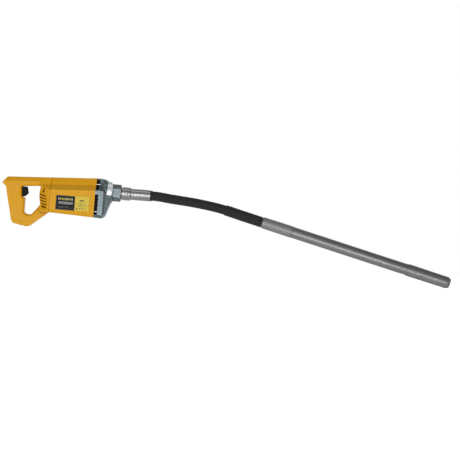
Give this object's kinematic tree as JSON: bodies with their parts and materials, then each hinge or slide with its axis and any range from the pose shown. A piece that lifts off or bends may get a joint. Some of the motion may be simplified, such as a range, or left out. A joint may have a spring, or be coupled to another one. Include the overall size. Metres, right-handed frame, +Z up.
{
  "type": "concrete vibrator",
  "caption": "Handheld electric concrete vibrator: D-handle motor unit, gear casing and union nut, flexible drive hose and steel vibrating head.",
  "frame": {"origin": "centre of the rear hand grip, on the tool's centre plane", "axes": "+X forward along the motor axis towards the nose and head, +Z up in the plane of the D-handle, +Y to the left"},
  "size_m": [1.3189, 0.0907, 0.2338],
  "materials": {
    "yellow_shell": "moulded with a light sheen",
    "black_plastic": "matt",
    "cast_aluminium": "sand cast and tumbled",
    "machined_steel": "turned",
    "bearing_steel": "ground",
    "zinc_screws": "bright zinc",
    "black_oxide": "black oxide",
    "head_steel": "ground tube",
    "sleeve_steel": "matt grey",
    "black_rubber": "fabric-marked hose cover",
    "seal_rubber": "moulded",
    "liner_steel": "wire wound",
    "rating_label": "printed black plate",
    "info_label": "printed yellow film",
    "laminations": "stacked steel sheet",
    "copper": "enamelled copper",
    "brass": "stamped",
    "carbon": "pressed carbon",
    "gasket_paper": "fibre sheet",
    "lead_insulation": "PVC"
  },
  "bodies": {
    "root": {"handle_shell_right": "yellow_shell", "handle_shell_left": "yellow_shell", "handle_screws": "zinc_screws", "housing_screws": "black_oxide", "switch_body": "black_plastic", "cable_gland": "seal_rubber", "cable_clamp": "black_plastic", "motor_leads": "lead_insulation", "trigger_spring": "zinc_screws", "lock_spring": "zinc_screws", "motor_housing": "yellow_shell", "rating_plate": "rating_label", "info_plate": "info_label", "stator_core": "laminations", "field_coils": "copper", "brush_holders": "brass", "carbon_brushes": "carbon", "brush_springs": "zinc_screws", "armature_rear_bearing": "bearing_steel", "armature_front_bearing": "bearing_steel", "air_baffle": "black_plastic", "gear_casing": "cast_aluminium", "casing_gasket": "gasket_paper", "bearing_plate": "cast_aluminium", "casing_screws": "zinc_screws", "spindle_rear_bearing": "bearing_steel", "spindle_front_bearing": "bearing_steel", "spindle_seal": "seal_rubber", "hose_connector": "machined_steel", "adapter_body": "machined_steel", "hose_ferrule": "machined_steel", "hose_rear": "black_rubber", "liner_rear": "liner_steel", "flex_shaft_rear": "liner_steel"},
    "trigger": {"trigger": "black_plastic"},
    "lock_button": {"lock_button": "black_plastic"},
    "armature": {"armature_shaft": "machined_steel", "armature_core": "laminations", "armature_windings": "copper", "commutator": "copper", "cooling_fan": "black_plastic", "pinion": "machined_steel"},
    "spindle": {"output_spindle": "machined_steel", "spindle_gear": "machined_steel", "spindle_key": "machined_steel"},
    "union_nut": {"union_nut": "cast_aluminium"},
    "hose_middle": {"hose_front": "black_rubber", "liner_front": "liner_steel", "flex_shaft_front": "liner_steel", "hose_guard": "black_rubber"},
    "poker": {"head_sleeve": "sleeve_steel", "head_tube": "head_steel", "head_o_ring": "seal_rubber", "head_tip": "head_steel", "head_rear_bearing": "bearing_steel", "head_front_bearing": "bearing_steel", "head_seal": "seal_rubber"},
    "eccentric": {"eccentric_rotor": "machined_steel", "rotor_coupling": "machined_steel"}
  },
  "joints": [
    {"name": "trigger_squeeze", "type": "slide", "parent": "root", "child": "trigger", "axis": [-1, 0, 0], "range_m": [0, 0.006], "stiffness_N_per_m": 900, "springref_m": -0.004, "deforming": ["trigger_spring"]},
    {"name": "lock_button_press", "type": "slide", "parent": "root", "child": "lock_button", "axis": [0, -1, 0], "range_m": [0, 0.003], "stiffness_N_per_m": 600, "springref_m": -0.003, "deforming": ["lock_spring"]},
    {"name": "armature_spin", "type": "hinge", "parent": "root", "child": "armature", "pos_m": [0.17, 0, 0.0134], "axis": [1, 0, 0], "continuous": true},
    {"name": "spindle_spin", "type": "hinge", "parent": "root", "child": "spindle", "pos_m": [0.26, 0, 0.04152], "axis": [1, 0, 0], "continuous": true},
    {"name": "union_nut_turn", "type": "hinge", "parent": "root", "child": "union_nut", "pos_m": [0.287, 0, 0.04152], "axis": [1, 0, 0], "range_deg": [0, 1080]},
    {"name": "hose_bend_pitch", "type": "hinge", "parent": "root", "child": "hose_middle", "pos_m": [0.49, 0, 0.034], "axis": [0, 1, 0], "range_deg": [-35, 35], "stiffness_Nm_per_rad": 60, "springref_deg": -14.32, "deforming": ["hose_rear", "liner_rear", "flex_shaft_rear"]},
    {"name": "hose_bend_yaw", "type": "hinge", "parent": "hose_middle", "child": "poker", "pos_m": [0.65564, 0, 0.00583], "axis": [0.2368, 0, 0.9715], "range_deg": [-30, 30], "stiffness_Nm_per_rad": 60, "deforming": ["hose_front", "liner_front", "flex_shaft_front", "hose_guard"]},
    {"name": "eccentric_spin", "type": "hinge", "parent": "poker", "child": "eccentric", "pos_m": [0.96803, 0, -0.06801], "axis": [0.9732, 0, -0.23], "continuous": true}
  ],
  "couplings": [
    {"joint": "spindle_spin", "follows": "armature_spin", "ratio": -0.60714},
    {"joint": "eccentric_spin", "follows": "armature_spin", "ratio": -0.60714}
  ]
}
